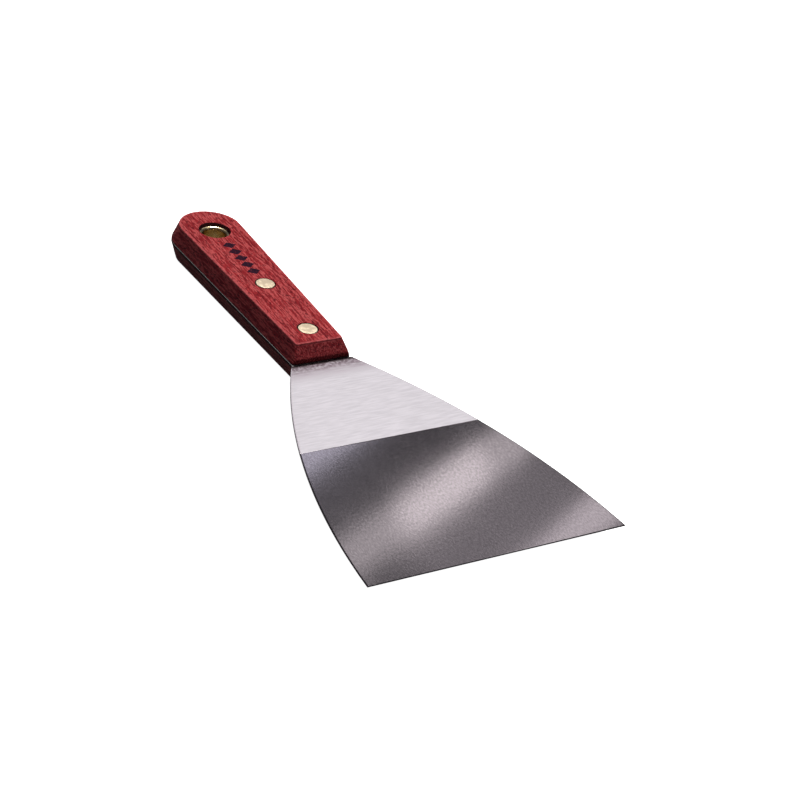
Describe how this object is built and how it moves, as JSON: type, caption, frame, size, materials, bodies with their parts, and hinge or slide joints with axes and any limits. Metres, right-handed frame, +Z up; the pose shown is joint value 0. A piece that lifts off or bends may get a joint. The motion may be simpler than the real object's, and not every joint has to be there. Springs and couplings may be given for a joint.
{
  "type": "drywall taping knife",
  "caption": "Wide flexible steel blade on a full tang, with two riveted wooden scales and a brass-lined hang hole.",
  "frame": {"origin": "centre of the footprint, on the surface that the lower scale lies on", "axes": "+X along the knife from the handle to the working edge, +Y across the blade, +Z up through both scales"},
  "size_m": [0.228, 0.1, 0.0147],
  "materials": {
    "blade_steel": "polished near the handle, ground with fine lengthways scratches towards the working edge",
    "scale_wood": "dyed red-brown open-grained hardwood with a thin satin lacquer",
    "rivet_brass": "faced off bright, slightly tarnished in the middle",
    "eyelet_brass": "bright on the flared lip, dull inside the tube"
  },
  "bodies": {
    "root": {"blade": "blade_steel", "top_scale": "scale_wood", "bottom_scale": "scale_wood", "front_rivet_socket": "rivet_brass", "front_rivet_pin": "rivet_brass", "rear_rivet_socket": "rivet_brass", "rear_rivet_pin": "rivet_brass", "hang_hole_eyelet": "eyelet_brass"}
  },
  "joints": []
}
